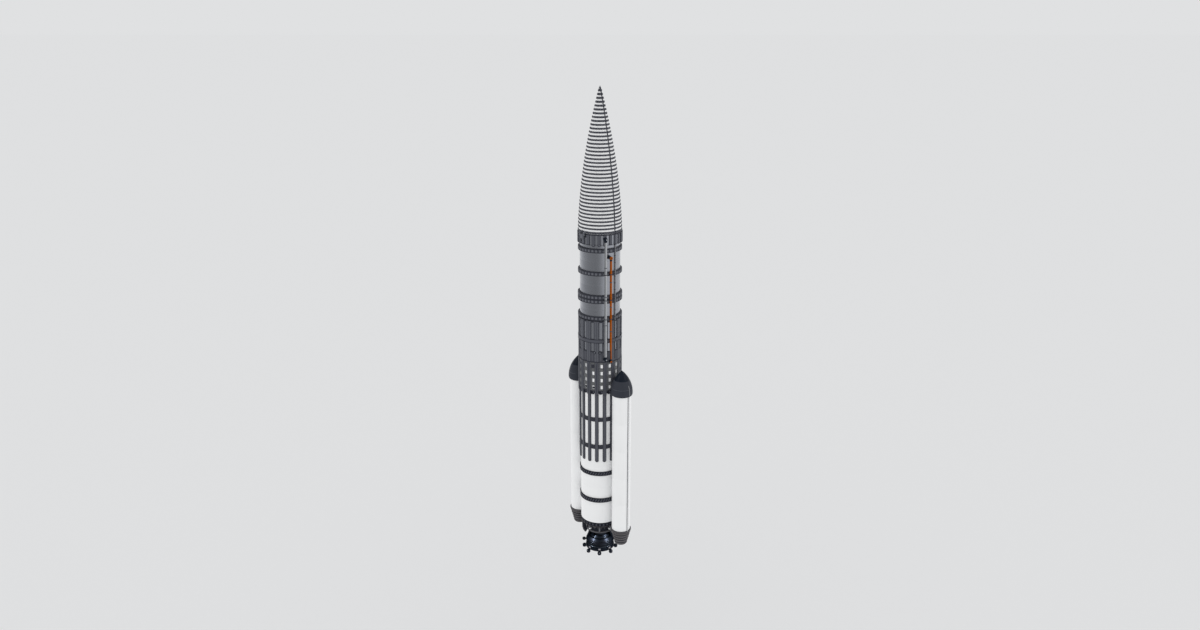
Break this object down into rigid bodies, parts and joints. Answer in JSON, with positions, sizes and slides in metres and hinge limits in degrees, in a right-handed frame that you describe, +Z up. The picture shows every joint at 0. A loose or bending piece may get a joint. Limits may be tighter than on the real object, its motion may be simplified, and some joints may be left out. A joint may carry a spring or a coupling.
{
  "type": "space rocket",
  "caption": "Tall space rocket: ribbed payload fairing, metal upper stage, white core in a cage of dark strips, white strap-on boosters and a gimballed main engine.",
  "frame": {"origin": "on the rocket's axis, in the hold-down plane under the aft ring, where the launch pad carries it", "axes": "+Z up the rocket towards the nose; the boosters stand at +X and -X; the fairing halves swing towards +Y and -Y"},
  "size_m": [6.56, 3.72, 37.18],
  "materials": {
    "white_paint": "satin white paint with fine panel lines",
    "dark_paint": "matt charcoal paint",
    "navy_paint": "satin blue-black paint",
    "dark_metal": "satin slate grey paint on metal",
    "navy_metal": "blue-black heat-stained metal, half gloss",
    "tube_metal": "brushed grey metal with a blue tint",
    "grey_pipe": "dull light grey metal",
    "orange_pipe": "satin burnt orange paint"
  },
  "bodies": {
    "rocket": {"core_tank": "white_paint", "core_ring_lower": "dark_paint", "core_ring_upper": "dark_paint", "strip_cage": "dark_metal", "lattice_section": "dark_metal", "stringer_section": "dark_metal", "upper_tank": "tube_metal", "tank_ring_top": "dark_metal", "tank_ring_upper": "dark_metal", "tank_ring_double": "dark_metal", "tank_ring_lower": "dark_metal", "cable_raceway": "dark_paint", "fairing_collar": "dark_metal", "fairing_hinge_left": "dark_metal", "fairing_hinge_right": "dark_metal", "payload_adapter": "tube_metal", "grey_pipe": "grey_pipe", "grey_pipe_foot_fitting": "navy_metal", "grey_pipe_top_fitting": "navy_metal", "orange_pipe": "orange_pipe", "orange_pipe_foot_fitting": "navy_metal", "orange_pipe_top_fitting": "navy_metal", "umbilical_plate": "dark_paint", "booster_left_casing": "white_paint", "booster_left_raceway": "white_paint", "booster_left_nose_skirt": "dark_paint", "booster_left_nose_tip": "navy_paint", "booster_left_aft_skirt": "dark_metal", "booster_left_nozzle": "navy_metal", "booster_left_forward_strut": "dark_metal", "booster_left_aft_strut": "dark_metal", "booster_right_casing": "white_paint", "booster_right_raceway": "white_paint", "booster_right_nose_skirt": "dark_paint", "booster_right_nose_tip": "navy_paint", "booster_right_aft_skirt": "dark_metal", "booster_right_nozzle": "navy_metal", "booster_right_forward_strut": "dark_metal", "booster_right_aft_strut": "dark_metal", "aft_ring": "dark_metal", "thrust_frame": "dark_metal", "exhaust_duct_left": "dark_metal", "exhaust_duct_right": "dark_metal"},
    "fairing_left": {"fairing_half_left": "white_paint"},
    "fairing_right": {"fairing_half_right": "white_paint"},
    "gimbal": {"gimbal_ring": "tube_metal"},
    "engine": {"engine_bell": "navy_metal", "exhaust_outlet_left": "navy_metal", "exhaust_outlet_right": "navy_metal", "vernier_ring": "navy_metal"}
  },
  "joints": [
    {"name": "fairing_left_hinge", "type": "hinge", "parent": "rocket", "child": "fairing_left", "pos_m": [0, 1.8, 24.05], "axis": [-1, 0, 0], "range_deg": [0, 60]},
    {"name": "fairing_right_hinge", "type": "hinge", "parent": "rocket", "child": "fairing_right", "pos_m": [0, -1.8, 24.05], "axis": [1, 0, 0], "range_deg": [0, 60]},
    {"name": "engine_pitch", "type": "hinge", "parent": "rocket", "child": "gimbal", "pos_m": [0, 0, -0.66], "axis": [1, 0, 0], "range_deg": [-5, 5]},
    {"name": "engine_yaw", "type": "hinge", "parent": "gimbal", "child": "engine", "pos_m": [0, 0, -0.66], "axis": [0, 1, 0], "range_deg": [-5, 5]}
  ]
}
